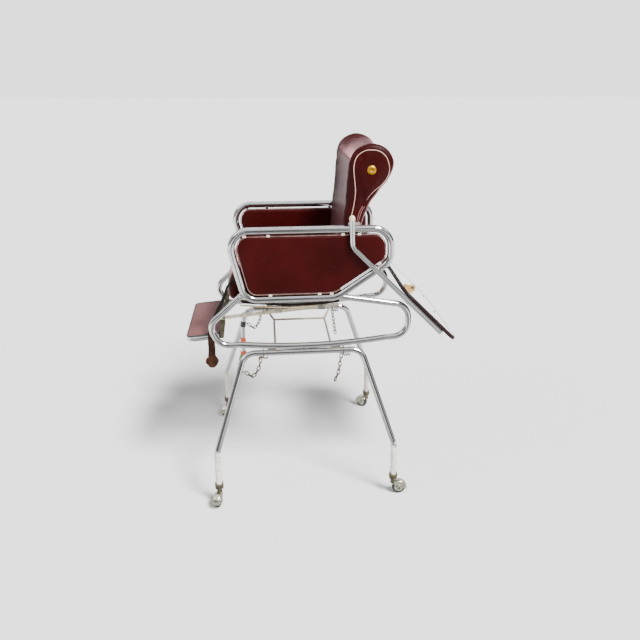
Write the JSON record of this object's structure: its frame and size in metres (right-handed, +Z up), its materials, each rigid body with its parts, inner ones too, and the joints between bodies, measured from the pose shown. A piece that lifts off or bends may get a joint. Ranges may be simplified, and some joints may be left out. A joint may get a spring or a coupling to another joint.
{
  "type": "dental chair",
  "caption": "Wheeled tubular dental chair with padded arms and reclining back, sliding footrest and a swing-up rear board, standing on a splayed base chained to the seat frame.",
  "frame": {"origin": "on the floor, under the middle of the bounding box", "axes": "+Z up, -Y the way the sitter faces, +X the sitter's left"},
  "size_m": [0.8128, 0.9846, 1.2695],
  "materials": {
    "chrome": "polished, slightly worn",
    "dull_steel": "dull, tarnished",
    "maroon_vinyl": "smooth semi-gloss maroon leathercloth",
    "maroon_footrest": "worn matt maroon covering",
    "plywood": "unfinished plywood",
    "white_laminate": "white laminate face",
    "dark_edging": "dark stained edging",
    "ivory_plastic": "aged ivory",
    "brass": "polished",
    "black_rubber": "dark hard rubber tyre",
    "brown_leather": "worn brown strap leather"
  },
  "bodies": {
    "frame": {"arm_loop_left": "chrome", "arm_loop_right": "chrome", "lower_loop_left": "chrome", "lower_loop_right": "chrome", "seat_rail_front": "dull_steel", "seat_rail_rear": "dull_steel", "seat_board": "plywood", "seat_cushion": "maroon_vinyl", "side_panel_left": "maroon_vinyl", "side_panel_right": "maroon_vinyl", "footrest_clamp_left": "dull_steel", "footrest_clamp_right": "dull_steel", "footrest_guide_left": "dull_steel", "footrest_guide_right": "dull_steel", "pivot_bolt_left": "dull_steel", "pivot_bolt_right": "dull_steel", "base_frame_left": "chrome", "base_frame_right": "chrome", "cross_brace": "dull_steel", "leather_strap": "brown_leather", "caster_collar_front_left": "dull_steel", "caster_collar_rear_left": "dull_steel", "caster_collar_front_right": "dull_steel", "caster_collar_rear_right": "dull_steel"},
    "back": {"back_board": "plywood", "back_cushion": "maroon_vinyl", "back_vent_left": "brass", "back_vent_right": "brass", "back_hinge_plate_left": "dull_steel", "back_hinge_plate_right": "dull_steel"},
    "shelf": {"shelf_tube_left": "chrome", "shelf_tube_right": "chrome", "shelf_cap_left": "ivory_plastic", "shelf_cap_right": "ivory_plastic", "shelf_board": "white_laminate", "shelf_edging": "dark_edging", "shelf_catch": "brass"},
    "footrest": {"footrest_bar_left": "chrome", "footrest_bar_right": "chrome", "footrest_bracket_left": "dull_steel", "footrest_bracket_right": "dull_steel", "footrest_board": "maroon_footrest", "footrest_edge_band": "chrome"},
    "front_chain_left": {"front_chain_left": "dull_steel"},
    "rear_chain_left": {"rear_chain_left": "dull_steel"},
    "front_chain_right": {"front_chain_right": "dull_steel"},
    "rear_chain_right": {"rear_chain_right": "dull_steel"},
    "caster_front_left": {"caster_fork_front_left": "chrome", "caster_axle_front_left": "dull_steel"},
    "wheel_front_left": {"caster_wheel_front_left": "black_rubber"},
    "caster_rear_left": {"caster_fork_rear_left": "chrome", "caster_axle_rear_left": "dull_steel"},
    "wheel_rear_left": {"caster_wheel_rear_left": "black_rubber"},
    "caster_front_right": {"caster_fork_front_right": "chrome", "caster_axle_front_right": "dull_steel"},
    "wheel_front_right": {"caster_wheel_front_right": "black_rubber"},
    "caster_rear_right": {"caster_fork_rear_right": "chrome", "caster_axle_rear_right": "dull_steel"},
    "wheel_rear_right": {"caster_wheel_rear_right": "black_rubber"}
  },
  "joints": [
    {"name": "back_recline", "type": "hinge", "parent": "frame", "child": "back", "pos_m": [-0.0065, 0.12267, 0.90857], "axis": [-1, 0, 0], "range_deg": [0, 20]},
    {"name": "shelf_swing", "type": "hinge", "parent": "frame", "child": "shelf", "pos_m": [-0.0065, 0.12267, 0.90857], "axis": [1, 0, 0], "range_deg": [0, 44]},
    {"name": "footrest_slide", "type": "slide", "parent": "frame", "child": "footrest", "axis": [0, -0.9962, -0.0872], "range_m": [-0.05, 0.05]},
    {"name": "front_chain_left_swing", "type": "hinge", "parent": "frame", "child": "front_chain_left", "pos_m": [0.2435, -0.21355, 0.52779], "axis": [0.1175, -0.8748, -0.47], "range_deg": [-20, 20]},
    {"name": "rear_chain_left_swing", "type": "hinge", "parent": "frame", "child": "rear_chain_left", "pos_m": [0.2435, 0.06845, 0.52779], "axis": [1, 0, 0], "range_deg": [-35, 35]},
    {"name": "front_chain_right_swing", "type": "hinge", "parent": "frame", "child": "front_chain_right", "pos_m": [-0.2565, -0.21355, 0.52779], "axis": [-0.1175, -0.8748, -0.47], "range_deg": [-20, 20]},
    {"name": "rear_chain_right_swing", "type": "hinge", "parent": "frame", "child": "rear_chain_right", "pos_m": [-0.2565, 0.07845, 0.52779], "axis": [1, 0, 0], "range_deg": [-35, 35]},
    {"name": "caster_swivel_front_left", "type": "hinge", "parent": "frame", "child": "caster_front_left", "pos_m": [0.3535, -0.39455, -0.00021], "axis": [0, 0, 1], "continuous": true},
    {"name": "wheel_spin_front_left", "type": "hinge", "parent": "caster_front_left", "child": "wheel_front_left", "pos_m": [0.37475, -0.40024, 0.02479], "axis": [-0.2588, -0.9659, 0], "continuous": true},
    {"name": "caster_swivel_rear_left", "type": "hinge", "parent": "frame", "child": "caster_rear_left", "pos_m": [0.3535, 0.24845, -0.00021], "axis": [0, 0, 1], "continuous": true},
    {"name": "wheel_spin_rear_left", "type": "hinge", "parent": "caster_rear_left", "child": "wheel_rear_left", "pos_m": [0.3535, 0.27045, 0.02479], "axis": [1, 0, 0], "continuous": true},
    {"name": "caster_swivel_front_right", "type": "hinge", "parent": "frame", "child": "caster_front_right", "pos_m": [-0.3665, -0.39455, -0.00021], "axis": [0, 0, 1], "continuous": true},
    {"name": "wheel_spin_front_right", "type": "hinge", "parent": "caster_front_right", "child": "wheel_front_right", "pos_m": [-0.34744, -0.40555, 0.02479], "axis": [-0.5, -0.866, 0], "continuous": true},
    {"name": "caster_swivel_rear_right", "type": "hinge", "parent": "frame", "child": "caster_rear_right", "pos_m": [-0.3665, 0.24845, -0.00021], "axis": [0, 0, 1], "continuous": true},
    {"name": "wheel_spin_rear_right", "type": "hinge", "parent": "caster_rear_right", "child": "wheel_rear_right", "pos_m": [-0.37911, 0.23043, 0.02479], "axis": [-0.8192, 0.5736, 0], "continuous": true}
  ]
}
